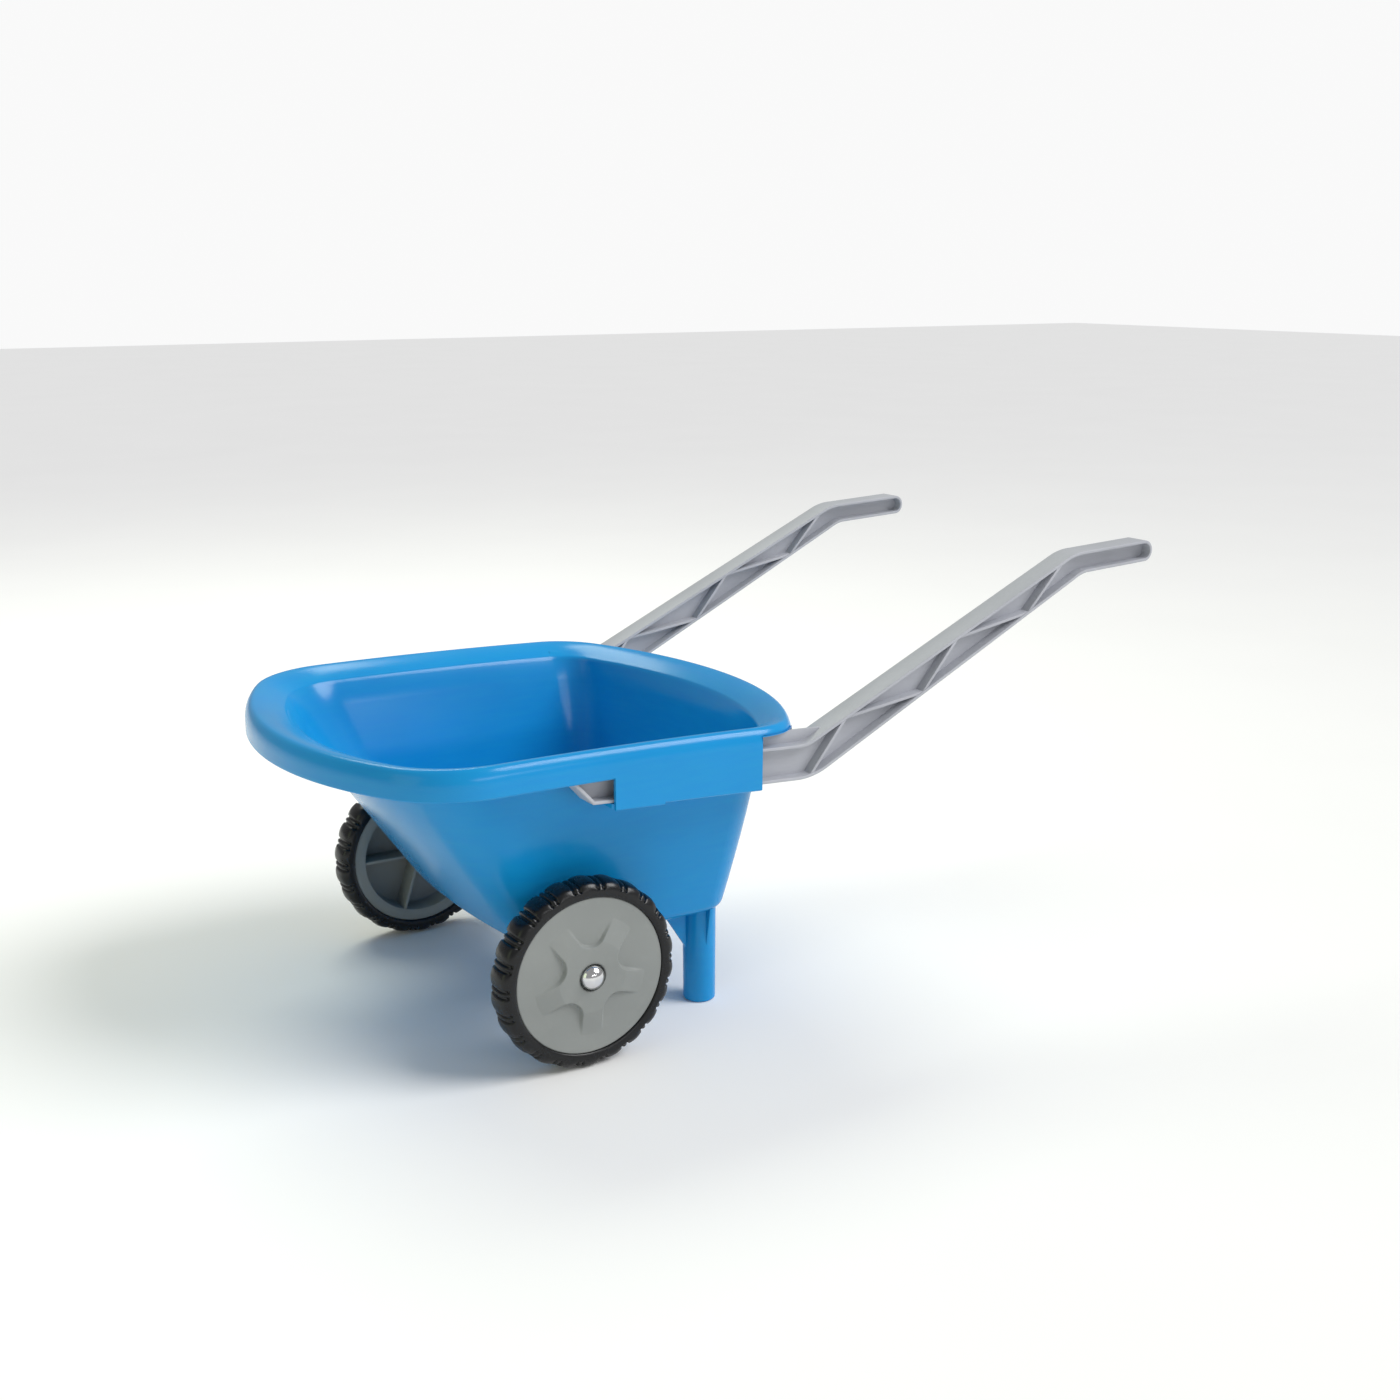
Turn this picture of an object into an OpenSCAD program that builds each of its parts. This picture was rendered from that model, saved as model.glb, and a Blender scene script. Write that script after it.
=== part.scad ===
// Child's two-wheeled toy wheelbarrow: a moulded tub on two legs and two wheels,
// pushed by two ribbed handles that slide into sockets under the rim.
// X runs back towards the grips, Y runs across along the axle, Z is up.
// The origin is on the ground, at the middle of the overall length and width.

/* [Tub rim] */
// How far the rim reaches ahead of the axle
rim_ahead = 184; // [165:1:225]
// How far the rim reaches behind the axle
rim_behind = 237; // [220:1:268]
// Width over the rim
rim_width = 378; // [315:1:454]
// Height of the rim's crest above the tub's underside, over the axle
tub_depth = 173; // [160:1:208]
// Slope of the rim down towards the back, in degrees
rim_tilt = 0.75; // [0:0.05:3]
// How far the rim curves down towards its ends, 200 mm away from the axle
rim_droop = 4; // [0:0.5:6]
// Width of the rolled rim at the sides and back
rim_roll = 28; // [24:1:32]
// Width of the rolled rim at the front
front_roll = 32; // [26:1:40]
// Distance of the rim's crest from its outer edge
crest_in = 6.5; // [5:0.5:10]
// How far the rim falls from its crest to its inner edge
inner_fall = 9; // [4:0.5:12]
// How far the rim rolls down from its crest to the upright lip
outer_fall = 13.5; // [10:0.5:18]
// Depth of the upright lip
lip_depth = 9.5; // [6:0.5:14]
// Corner radius of the rim at the front
rim_front_radius = 78; // [68:1:90]
// Corner radius of the rim at the back
rim_back_radius = 57; // [48:1:70]

/* [Tub body] */
// Wall thickness of the tub
wall = 3; // [2:0.5:4]
// How far the floor reaches ahead of the axle
floor_ahead = 33; // [26:1:40]
// How far the floor reaches behind the axle
floor_behind = 165; // [147:1:177]
// Width of the floor
floor_width = 250; // [220:1:264]
// Radius between the floor and the walls
floor_fillet = 8; // [6:0.5:14]
// Corner radius of the floor at the front
floor_front_radius = 24; // [20:1:34]
// Corner radius of the floor at the back
floor_back_radius = 24; // [20:1:34]
// Corner radius at the front of the wall's top
wall_front_radius = 62; // [52:1:72]
// Corner radius at the back of the wall's top
wall_back_radius = 40; // [32:1:50]
// Radius of the bow across the rim's front and back
rim_bow = 300; // [280:10:600]
// Radius of the bow across the floor's front and back
floor_bow = 700; // [400:10:900]

/* [Legs] */
// Diameter of a leg
leg_d = 27.5; // [20:0.5:30]
// Radius on the edge of a foot
foot_edge = 2; // [1:0.5:4]
// Distance of the leg's centre from the back edge of the floor
leg_from_back = 26; // [18:1:38]
// Distance of the leg's centre from the side edge of the floor
leg_from_side = 20.5; // [15:0.5:40]
// Height of the gussets at the top of a leg
gusset_h = 35; // [20:1:45]

/* [Handles] */
// Slope of the sockets and handles down towards the back, in degrees
socket_tilt = 3.2; // [0:0.1:5]
// Width of the handle's flanges
handle_w = 22; // [18:1:26]
// Depth of the handle inside its socket
handle_h = 28.5; // [24:0.5:31]
// Thickness of the handle's flanges, web and ribs
handle_t = 2.6; // [2:0.1:4]
// Length of the socket along the rim
socket_len = 129; // [100:1:150]
// How far the handle reaches out of the front of its socket
nose_len = 14; // [8:1:20]
// Distance from the back of the socket to the lower bend
lower_len = 49; // [35:1:70]
// Length of the sloping part of the handle
slope_len = 307; // [256:1:368]
// Angle between the socket and the sloping part
slope_angle = 28.7; // [20:0.1:40]
// Length of the grip
grip_len = 86; // [70:1:110]
// Angle between the socket and the grip
grip_angle = 6; // [0:0.5:15]
// Depth of the grip
grip_h = 18.5; // [14:0.5:22]
// Clearance around the handle in its socket
socket_gap = 0.3; // [0.2:0.05:0.6]
// Thickness of the socket's outer skirt and floor
socket_t = 3.6; // [2.5:0.1:4.5]

/* [Wheels] */
// Diameter over the tread
wheel_d = 150; // [126:1:180]
// Width of the tyre
tyre_w = 26; // [22:1:30]
// Diameter of the hub inside the tyre
hub_d = 124; // [96:1:130]
// Width of the hub
hub_w = 23; // [18:1:25]
// Number of tread blocks
tread_blocks = 22; // [16:1:28]
// Depth of the tread
tread_depth = 2.6; // [1.5:0.1:4]
// Diameter of the axle
axle_d = 8; // [6:0.5:10]
// Gap between the tub's side and the wheels
wheel_gap = 9; // [6:0.5:20]
// Radial running clearance of a hub on the axle
running_gap = 0.08; // [0.03:0.01:0.1]
// End clearance on each side of a hub
end_gap = 0.4; // [0.2:0.1:1]
// Diameter of the domed axle cap
cap_d = 20; // [16:0.5:24]

/* [Hidden] */
$fn = 64;

blue = [0.13, 0.46, 0.74];
grey = [0.62, 0.63, 0.65];
black = [0.12, 0.13, 0.14];
chrome = [0.82, 0.83, 0.85];
steel = [0.66, 0.67, 0.69];

wheel_r = wheel_d / 2;
hub_r = hub_d / 2;
axle_r = axle_d / 2;
// The floor lies this far above the axle's centre.
axle_drop = axle_r + 2;
floor_z = wheel_r + axle_drop;
rim_z = floor_z + tub_depth;
inner_z = rim_z - inner_fall;
wall_h = inner_z - floor_z;
lip_drop = outer_fall + lip_depth;

// An outline is [front x, back x, half width, front radius, back radius, bow].
rim_set = [-rim_ahead, rim_behind, rim_width / 2, rim_front_radius, rim_back_radius, rim_bow];
top_set = [
    front_roll - rim_ahead, rim_behind - rim_roll, rim_width / 2 - rim_roll,
    wall_front_radius, wall_back_radius, rim_bow
];
floor_set = [
    -floor_ahead, floor_behind, floor_width / 2,
    floor_front_radius, floor_back_radius, floor_bow
];

function mix(a, b, f) = a + (b - a) * f;
function inset(set, d) = [set[0] + d, set[1] - d, set[2] - d, set[3] - d, set[4] - d, set[5] - d];
// The wall runs straight from the floor to the rim's inner edge.
function wall_at(z) = mix(floor_set, top_set, (z - floor_z) / wall_h);

// Segments along a bowed end, a corner and a side of an outline.
end_steps = 5;
corner_steps = 6;
side_steps = 4;

function on_circle(x, y, r, a) = [x + r * cos(a), y + r * sin(a)];
// Angle at which the bow meets the corner, and the corner's centre behind the bow's end.
function meet_angle(half, r, bow) = asin((half - r) / (bow - r));
function corner_back(half, r, bow) = bow - sqrt(pow(bow - r, 2) - pow(half - r, 2));

// Right half of an outline, from the middle of the back to the middle of the front.
function half_ring(s) =
    let (
        half = s[2],
        bow = s[5],
        back_angle = meet_angle(half, s[4], bow),
        front_angle = meet_angle(half, s[3], bow),
        back_x = s[1] - corner_back(half, s[4], bow),
        front_x = s[0] + corner_back(half, s[3], bow)
    )
    concat(
        [for (i = [0:end_steps - 1]) on_circle(s[1] - bow, 0, bow, back_angle * i / end_steps)],
        [for (i = [0:corner_steps])
            on_circle(back_x, half - s[4], s[4], mix(back_angle, 90, i / corner_steps))],
        [for (i = [1:side_steps - 1]) [mix(back_x, front_x, i / side_steps), half]],
        [for (i = [0:corner_steps])
            on_circle(front_x, half - s[3], s[3], mix(90, 180 - front_angle, i / corner_steps))],
        [for (i = [1:end_steps])
            on_circle(s[0] + bow, 0, bow, 180 - front_angle * (1 - i / end_steps))]
    );

// How far the rim lies below its height over the axle, at x.
function rim_fall(x) = x * tan(rim_tilt) + rim_droop * pow(x / 200, 2);

// Whole outline at height z, which follows the rim's fall more and more towards the top.
function ring(set, z) =
    let (
        right = half_ring(set),
        last = len(right) - 1,
        share = max(0, min(1, (z - floor_z) / (tub_depth - lip_drop))),
        flat = concat(right, [for (i = [1:last - 1]) [right[last - i][0], -right[last - i][1]]])
    )
    [for (p = flat) [p[0], p[1], z - share * rim_fall(p[0])]];

// Closed solid through a stack of rings.
module loft(rings) {
    n = len(rings[0]);
    top = len(rings) - 1;
    points = [for (r = rings) for (p = r) p];
    sides = [for (k = [0:top - 1]) for (i = [0:n - 1])
        [k * n + i, (k + 1) * n + i, (k + 1) * n + (i + 1) % n, k * n + (i + 1) % n]];
    first_cap = [for (i = [0:n - 1]) i];
    last_cap = [for (i = [n - 1:-1:0]) top * n + i];
    polyhedron(points = points, faces = concat([first_cap], sides, [last_cap]));
}

// Rings up one side of the wall, with the fillet at the floor.
fillet_steps = 4;
function wall_rings(d, r) = concat(
    [for (i = [0:fillet_steps])
        let (a = 90 * i / fillet_steps, z = floor_z + d + r * (1 - cos(a)))
        ring(inset(wall_at(z), d + r * (1 - sin(a))), z)],
    [for (f = [0.4, 0.7]) ring(inset(wall_at(floor_z + f * wall_h), d), floor_z + f * wall_h)]
);

// The rim climbs from its inner edge to the crest and rolls over to the lip. The share of
// the way out is f, and the power makes the climb steeper at the inner edge.
climb_steps = 4;
roll_steps = 5;
climb_power = 1.5;
crest_f = 1 - crest_in / rim_roll;
function roll_drop(f) = f < crest_f
    ? inner_fall * pow(1 - f / crest_f, climb_power)
    : outer_fall * (1 - sqrt(1 - pow((f - crest_f) / (1 - crest_f), 2)));
function roll_rings(inner, outer, z) = concat(
    [for (i = [0:climb_steps])
        let (f = crest_f * i / climb_steps) ring(mix(inner, outer, f), z - roll_drop(f))],
    [for (i = [1:roll_steps])
        let (f = mix(crest_f, 1, sin(90 * i / roll_steps)))
        ring(mix(inner, outer, f), z - roll_drop(f))]
);

function reversed(list) = [for (i = [len(list) - 1:-1:0]) list[i]];

outer_rings = concat(
    wall_rings(0, floor_fillet),
    roll_rings(top_set, inset(rim_set, wall), rim_z - wall),
    [ring(inset(rim_set, wall), rim_z - lip_drop)]
);
// The rim's inner edge is softened where it turns down into the tub.
edge_soft = 1.5;
cavity_rings = concat(
    wall_rings(wall, floor_fillet - wall),
    [
        ring(inset(top_set, wall), inner_z - edge_soft),
        ring(inset(top_set, wall - edge_soft), inner_z)
    ]
);
rim_rings = concat(
    [ring(rim_set, rim_z - lip_drop)],
    reversed(roll_rings(inset(top_set, wall - edge_soft), rim_set, rim_z))
);

module tub_shell() {
    inside = reversed(cavity_rings);
    loft(concat(outer_rings, rim_rings, [for (i = [1:len(inside) - 1]) inside[i]]));
}

// Places what is drawn from the rim's inner edge over the axle, sloped like the sockets.
module on_slope() {
    translate([0, 0, rim_z])
        rotate([0, socket_tilt, 0])
            children();
}

// Draws a side view, given in X and Z, as a plate centred on y = 0.
module plate(thickness) {
    rotate([90, 0, 0])
        linear_extrude(height = thickness, center = true)
            children();
}

// Straight bar between two points of a side view.
module bar(a, b, thickness) {
    run = b - a;
    translate(a)
        rotate(atan2(run[1], run[0]))
            translate([0, -thickness / 2])
                square([norm(run), thickness]);
}

// Socket: the handle slides in from the back, between the skirt and an inner web,
// on a floor, and its fin comes up under the rolled rim.
skirt_proud = 0.2;
// The socket ends just past the start of the rim's back corner.
socket_past_corner = 3;
rim_corner_x = rim_behind - corner_back(rim_width / 2, rim_back_radius, rim_bow);
socket_back = rim_corner_x + socket_past_corner;
socket_front = socket_back - socket_len;
handle_y = rim_width / 2 + skirt_proud - socket_t - socket_gap - handle_w / 2;
web_y = handle_y - handle_w / 2 - socket_gap;
// The handle's top flange lies just above the start of the lip, clear of the rolled corner.
handle_top = 0.9 - outer_fall;
handle_bottom = handle_top - handle_h;
socket_floor = handle_bottom - socket_gap;
socket_bottom = socket_floor - socket_t;
// The floor of the socket runs this far into the tub's wall.
wall_bite = 1.6;
floor_in_y = wall_at(rim_z + socket_bottom)[2] - wall_bite;

// A catch on the handle drops into this hole in the socket's floor.
catch_from_front = 42;
catch_len = 8;
catch_h = 2.4;
catch_x = socket_front + catch_from_front;
// Ahead of the catch the skirt hangs a little lower.
skirt_step = 1.6;

module box_between(low, high) {
    translate(low)
        cube(high - low);
}

// The inner web ends inside the rolled rim at both ends of the socket.
web_f = 1 - (rim_width / 2 - web_y + wall / 2) / rim_roll;
function rim_over(x) = x * tan(socket_tilt) - rim_fall(x);
web_top = rim_over(socket_front) - roll_drop(web_f) - wall / 2;

module socket() {
    skirt_in = handle_y + handle_w / 2 + socket_gap;
    skirt_out = rim_width / 2 + skirt_proud;
    skirt_top = handle_top - 2;
    box_between([socket_front, skirt_in, socket_bottom], [socket_back, skirt_out, skirt_top]);
    box_between(
        [socket_front, skirt_in, socket_bottom - skirt_step],
        [catch_x, skirt_out, socket_bottom + 1]
    );
    difference() {
        box_between(
            [socket_front, floor_in_y, socket_bottom],
            [socket_back, skirt_out - 1, socket_floor]
        );
        box_between(
            [catch_x, handle_y - handle_w / 4, socket_bottom - 1],
            [catch_x + catch_len, handle_y + handle_w / 4, socket_floor + 1]
        );
    }
    box_between([socket_front, web_y - wall, socket_bottom], [socket_back, web_y, web_top]);
}

// Legs stand under the back corners of the floor.
leg_r = leg_d / 2;
leg_x = floor_behind - leg_from_back;
leg_y = floor_width / 2 - leg_from_side;
leg_taper = 0.4;
gusset_t = 3;
gusset_reach = 22;
// The legs and their gussets end inside the floor.
leg_top = floor_z + wall / 2;

leg_sides = 48;

module leg() {
    foot_steps = 4;
    foot_r = leg_r - leg_taper - foot_edge;
    foot = [for (i = [0:foot_steps])
        on_circle(foot_r, foot_edge, foot_edge, -90 + 90 * i / foot_steps)];
    loft([for (p = concat(foot, [[leg_r, leg_top]]))
        [for (k = [0:leg_sides - 1])
            let (a = (k + 0.5) * 360 / leg_sides) [p[0] * cos(a), p[0] * sin(a), p[1]]]]);
    // Gusset along the floor, towards the front.
    plate(gusset_t)
        polygon([
            [0, floor_z - gusset_h], [1 - leg_r, floor_z - gusset_h],
            [-leg_r - gusset_reach, leg_top], [0, leg_top]
        ]);
    // Fin out to the side of the tub.
    side_reach = floor_width / 2 - floor_fillet / 2 - leg_y;
    rotate(90)
        plate(gusset_t)
            polygon([
                [0, floor_z - gusset_h], [leg_r - 1, floor_z - gusset_h],
                [side_reach, leg_top], [0, leg_top]
            ]);
}

// Lugs under the floor carry the axle.
lug_r = axle_r + 6;
lug_w = 30;
lug_from_side = 2;
lug_out = floor_width / 2 - lug_from_side;
lug_in = lug_out - lug_w;
axle_gap = 0.1;

module along_y(from, to) {
    translate([0, from, wheel_r])
        rotate([-90, 0, 0])
            linear_extrude(height = to - from)
                children();
}

module lug() {
    along_y(lug_in, lug_out)
        circle(r = lug_r);
    box_between([-lug_r, lug_in, wheel_r], [lug_r, lug_out, floor_z + wall - 1]);
}

// Behind its socket the handle passes under the rim through a gap in the lip.
module lip_gap() {
    box_between(
        [socket_back, web_y, handle_bottom - 1],
        [rim_behind + 1, rim_width / 2 + 1, fin_top + socket_gap]
    );
}

module both_sides() {
    children();
    mirror([0, 1, 0])
        children();
}

module tub() {
    color(blue)
        place() {
            difference() {
                union() {
                    tub_shell();
                    both_sides() {
                        on_slope()
                            socket();
                        lug();
                        translate([leg_x, leg_y, 0])
                            leg();
                    }
                }
                both_sides()
                    on_slope()
                        lip_gap();
                along_y(-lug_out - 1, lug_out + 1)
                    circle(r = axle_r + axle_gap);
            }
        }
}

// The handle's centre line runs straight through the socket, up the slope and into the grip.
bend_r = 45;
bend_steps = 5;
slope_h = [28.5, 21];
handle_mid = handle_top - handle_h / 2;
lower_tangent = bend_r * tan(slope_angle / 2);
upper_tangent = bend_r * tan((slope_angle - grip_angle) / 2);
slope_dir = [cos(slope_angle), sin(slope_angle)];
slope_side = [-sin(slope_angle), cos(slope_angle)];
grip_dir = [cos(grip_angle), sin(grip_angle)];
bend_point = [socket_back + lower_len, handle_mid];
upper_point = bend_point + slope_len * slope_dir;
lower_centre = bend_point + [-lower_tangent, bend_r];
upper_centre = upper_point - upper_tangent * slope_dir - bend_r * slope_side;
grip_end = upper_point + (grip_len - grip_h / 2) * grip_dir;
nose_x = socket_front - nose_len;

// One edge of the handle's side view: edge 1 is the top and -1 the bottom, t is the inset.
function handle_edge(edge, t) = concat(
    [for (i = [0:bend_steps])
        let (
            a = slope_angle * i / bend_steps,
            h = edge * (mix(handle_h, slope_h[0], i / bend_steps) / 2 - t)
        )
        lower_centre + (bend_r - h) * [sin(a), -cos(a)]],
    [for (i = [0:bend_steps])
        let (
            a = mix(slope_angle, grip_angle, i / bend_steps),
            h = edge * (mix(slope_h[1], grip_h, i / bend_steps) / 2 - t)
        )
        upper_centre + (bend_r + h) * [-sin(a), cos(a)]]
);

// Side view of the handle. Its nose is cut back at 45 degrees and the grip's end is round.
module handle_side(t) {
    low = handle_bottom + t;
    high = handle_top - t;
    nose_low = nose_x + t * (sqrt(2) - 1);
    end_r = grip_h / 2 - t;
    polygon(concat(
        [[nose_low - (high - low), high], [nose_low, low]],
        handle_edge(-1, t),
        [for (a = [-80:20:80]) grip_end + end_r * [cos(a + grip_angle), sin(a + grip_angle)]],
        reversed(handle_edge(1, t))
    ));
}

// Zigzag ribs up the slope, from the lower flange to the upper one and back.
rib_pairs = 2;
rib_rise = 49;
rib_start = -4;
rib_fall = (slope_len + 3 * rib_start - (rib_pairs + 1) * rib_rise) / rib_pairs;
// The ribs stop short of the flanges' edges.
rib_step = 1;

function rib_point(s, edge) =
    let (h = mix(slope_h[0], slope_h[1], s / slope_len) / 2)
    bend_point + s * slope_dir + edge * (h - handle_t / 2) * slope_side;

module handle_ribs() {
    for (k = [0:rib_pairs]) {
        s = rib_start + k * (rib_rise + rib_fall);
        bar(rib_point(s, -1), rib_point(s + rib_rise, 1), handle_t);
        if (k < rib_pairs)
            bar(rib_point(s + rib_rise, 1), rib_point(s + rib_rise + rib_fall, -1), handle_t);
    }
}

// A fin on the top flange fills the crook of the bend and reaches up under the rim.
fin_front = socket_back - 30;
fin_f = 1 - (rim_width / 2 - handle_y + handle_t / 2) / rim_roll;
fin_top = rim_over(fin_front) - roll_drop(fin_f) - wall - 2 * socket_gap;
fin_back = bend_point[0] + (fin_top - handle_top) / tan(slope_angle) - 2;

module handle() {
    plate(handle_t) {
        handle_side(0);
        polygon([
            [fin_front, handle_top - 1], [fin_front + 10, fin_top],
            [fin_back, fin_top], [bend_point[0], handle_top - 1]
        ]);
    }
    plate(handle_w)
        difference() {
            handle_side(0);
            handle_side(handle_t);
        }
    plate(handle_w - 2 * rib_step)
        intersection() {
            handle_side(handle_t / 2);
            handle_ribs();
        }
    // Catch under the bottom flange, sloped so that it rides over the socket's floor.
    plate(handle_w / 2 - 1)
        polygon([
            [catch_x + 0.5, handle_bottom + 1], [catch_x + 0.5, handle_bottom],
            [catch_x + catch_len - 1, handle_bottom - catch_h],
            [catch_x + catch_len - 0.5, handle_bottom - catch_h],
            [catch_x + catch_len - 0.5, handle_bottom + 1]
        ]);
}

module placed_handle(side) {
    color(grey)
        place()
            translate([0, side * handle_y, 0])
                on_slope()
                    handle();
}

// Wheels run beside the tub's walls, clear of them where they are widest.
hub_inset = (tyre_w - hub_w) / 2;
tyre_in = wall_at(wheel_d)[2] + wheel_gap;
tyre_out = tyre_in + tyre_w;
hub_in = tyre_in + hub_inset;
hub_out = tyre_out - hub_inset;
hub_face_t = 3;
hub_rim_t = 10;
hub_boss_r = axle_r + 7;
hub_rib_t = 2.6;
arms = 5;

// Raised star on the hub's face, with one arm pointing down.
star_t = 1.2;
arm_r = hub_r * 0.74;
arm_w = 18;
valley_r = 11;
valley_at = hub_r * 0.58;
star_r = hub_r * 0.52;
// The cap sits in a shallow round recess.
recess_r = cap_d / 2 + 1;
recess_t = 1.6;

module star() {
    difference() {
        union() {
            circle(r = star_r);
            for (k = [0:arms - 1])
                rotate(90 + k * 360 / arms)
                    translate([0, -arm_w / 2])
                        square([arm_r, arm_w]);
        }
        for (k = [0:arms - 1])
            rotate(90 + (k + 0.5) * 360 / arms)
                translate([valley_at, 0])
                    circle(r = valley_r);
    }
}

module hub() {
    color(grey)
        difference() {
            union() {
                along_y(hub_out - hub_face_t, hub_out)
                    circle(r = hub_r);
                along_y(hub_out - 1, hub_out + star_t)
                    star();
                along_y(hub_in, hub_out)
                    difference() {
                        circle(r = hub_r);
                        circle(r = hub_r - hub_rim_t);
                    }
                along_y(hub_in, hub_out)
                    circle(r = hub_boss_r);
                along_y(hub_in + 1, hub_out)
                    for (k = [0:arms - 1])
                        rotate(k * 360 / arms)
                            translate([hub_boss_r - 1, -hub_rib_t / 2])
                                square([hub_r - hub_rim_t - hub_boss_r + 2, hub_rib_t]);
            }
            along_y(hub_in - 1, hub_out + star_t + 1)
                circle(r = axle_r + running_gap);
            along_y(hub_out + star_t - recess_t, hub_out + star_t + 1)
                circle(r = recess_r);
        }
}

// The tyre is stretched over the hub, with tread blocks and a narrow rib between them.
tyre_seat = 0.05;
block_share = 0.62;
rib_share = 0.14;

module tyre() {
    inner = hub_r + tyre_seat;
    groove = wheel_r - tread_depth;
    shoulder = 2;
    half = tyre_w / 2;
    pitch = 360 / tread_blocks;
    color(black)
        translate([0, tyre_in + half, wheel_r])
            rotate([90, 0, 0])
                difference() {
                    rotate_extrude()
                        polygon([
                            [inner, -half + 1], [inner + 1, -half], [groove - shoulder, -half],
                            [wheel_r - 1, shoulder - half], [wheel_r, shoulder - half + 2],
                            [wheel_r, half - shoulder - 2], [wheel_r - 1, half - shoulder],
                            [groove - shoulder, half], [inner + 1, half], [inner, half - 1]
                        ]);
                    for (k = [0:tread_blocks - 1])
                        rotate(-90 + (k + 0.5) * pitch)
                            tread_grooves(groove, pitch * (1 - block_share), pitch * rib_share);
                }
}

// The grooves on either side of the narrow rib between two blocks.
module tread_grooves(groove, gap_angle, rib_angle) {
    gap_w = groove * sin(gap_angle);
    rib_w = groove * sin(rib_angle);
    for (side = [-1, 1])
        translate([groove, side * (gap_w + rib_w) / 4 - (gap_w - rib_w) / 4, -tyre_w])
            cube([2 * tread_depth, (gap_w - rib_w) / 2, 2 * tyre_w]);
}

// A spacer keeps each wheel away from its lug.
spacer_r = axle_r + 3.5;
spacer_gap = 0.1;

module spacer() {
    color(blue)
        along_y(lug_out + spacer_gap, hub_in - end_gap)
            difference() {
                circle(r = spacer_r);
                circle(r = axle_r + axle_gap);
            }
}

// A toothed push nut grips the end of the axle, under a domed cap.
nut_t = 0.8;
nut_r = cap_d / 2 - 1.4;
nut_teeth = 6;
nut_tooth_w = 2.6;
nut_in = hub_out + star_t - recess_t + end_gap;
nut_grip = 0.02;
cap_t = 0.8;
cap_h = cap_d * 0.42;
axle_end = nut_in + nut_t + 2;

module push_nut() {
    color(steel)
        along_y(nut_in, nut_in + nut_t)
            difference() {
                circle(r = nut_r);
                difference() {
                    circle(r = axle_r + 1.6);
                    difference() {
                        for (k = [0:nut_teeth - 1])
                            rotate(k * 360 / nut_teeth)
                                translate([0, -nut_tooth_w / 2])
                                    square([nut_r, nut_tooth_w]);
                        circle(r = axle_r + nut_grip);
                    }
                }
                circle(r = axle_r + nut_grip);
            }
}

module axle_cap() {
    dome_steps = 8;
    outer_r = cap_d / 2;
    // The cap's skirt grips the push nut, then the dome closes over the axle's end.
    skirt_h = nut_t + 0.6;
    outside = [for (i = [0:dome_steps])
        [outer_r * cos(90 * i / dome_steps), skirt_h + cap_h * sin(90 * i / dome_steps)]];
    inside = [for (i = [0:dome_steps])
        [(outer_r - cap_t) * cos(90 * i / dome_steps),
            skirt_h + (cap_h - cap_t) * sin(90 * i / dome_steps)]];
    color(chrome)
        translate([0, nut_in, wheel_r])
            rotate([-90, 0, 0])
                rotate_extrude()
                    polygon(concat(
                        [[outer_r - cap_t, 0], [outer_r, 0]], outside, reversed(inside)
                    ));
}

module axle() {
    color(steel)
        place()
            along_y(-axle_end, axle_end)
                circle(r = axle_r);
}

// Moves a piece from the axle's frame to the middle of the overall length.
grip_tip = grip_end + [grip_h / 2, 0];
overall_back = grip_tip[0] * cos(socket_tilt) + grip_tip[1] * sin(socket_tilt);

module place() {
    translate([(rim_ahead - overall_back) / 2, 0, 0])
        children();
}

// The right side lies at positive Y, and the left side is its mirror image.
module on_left() {
    place()
        mirror([0, 1, 0])
            children();
}

tub();
placed_handle(-1);  // handle_left
placed_handle(1);  // handle_right
axle();
on_left() spacer();  // spacer_left
place() spacer();  // spacer_right
on_left() hub();  // hub_left
place() hub();  // hub_right
on_left() tyre();  // tyre_left
place() tyre();  // tyre_right
on_left() push_nut();  // push_nut_left
place() push_nut();  // push_nut_right
on_left() axle_cap();  // axle_cap_left
place() axle_cap();  // axle_cap_right
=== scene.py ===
import math

import bmesh
import bpy
from mathutils import Matrix, Vector


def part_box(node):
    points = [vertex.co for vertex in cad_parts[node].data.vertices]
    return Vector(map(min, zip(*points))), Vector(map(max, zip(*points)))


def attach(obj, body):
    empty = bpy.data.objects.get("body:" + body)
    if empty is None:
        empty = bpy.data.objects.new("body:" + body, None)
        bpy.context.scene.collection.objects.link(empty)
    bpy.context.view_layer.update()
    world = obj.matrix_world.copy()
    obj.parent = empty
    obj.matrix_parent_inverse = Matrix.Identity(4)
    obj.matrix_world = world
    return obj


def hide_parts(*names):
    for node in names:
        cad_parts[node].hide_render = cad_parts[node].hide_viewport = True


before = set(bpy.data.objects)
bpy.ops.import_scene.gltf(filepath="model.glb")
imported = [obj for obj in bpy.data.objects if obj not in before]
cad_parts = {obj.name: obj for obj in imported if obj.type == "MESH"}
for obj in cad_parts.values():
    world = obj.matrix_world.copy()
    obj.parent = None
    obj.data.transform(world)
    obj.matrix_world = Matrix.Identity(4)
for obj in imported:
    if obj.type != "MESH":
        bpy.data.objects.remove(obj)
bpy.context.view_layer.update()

# ---------------------------------------------------------------------------------------
# The tub. One deep moulding in glossy blue polypropylene: a flat floor, four leaning walls
# and a rolled rim whose crest stands above both its edges. It is grown ring by ring from
# the underside, up the outside, over the rim and down the inside to the floor.
axle_low, axle_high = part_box("axle")
axle_x = (axle_low.x + axle_high.x) / 2
axle_z = (axle_low.z + axle_high.z) / 2

wall = 0.003
floor_z = axle_z + 0.006
crest_z = floor_z + 0.173
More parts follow.
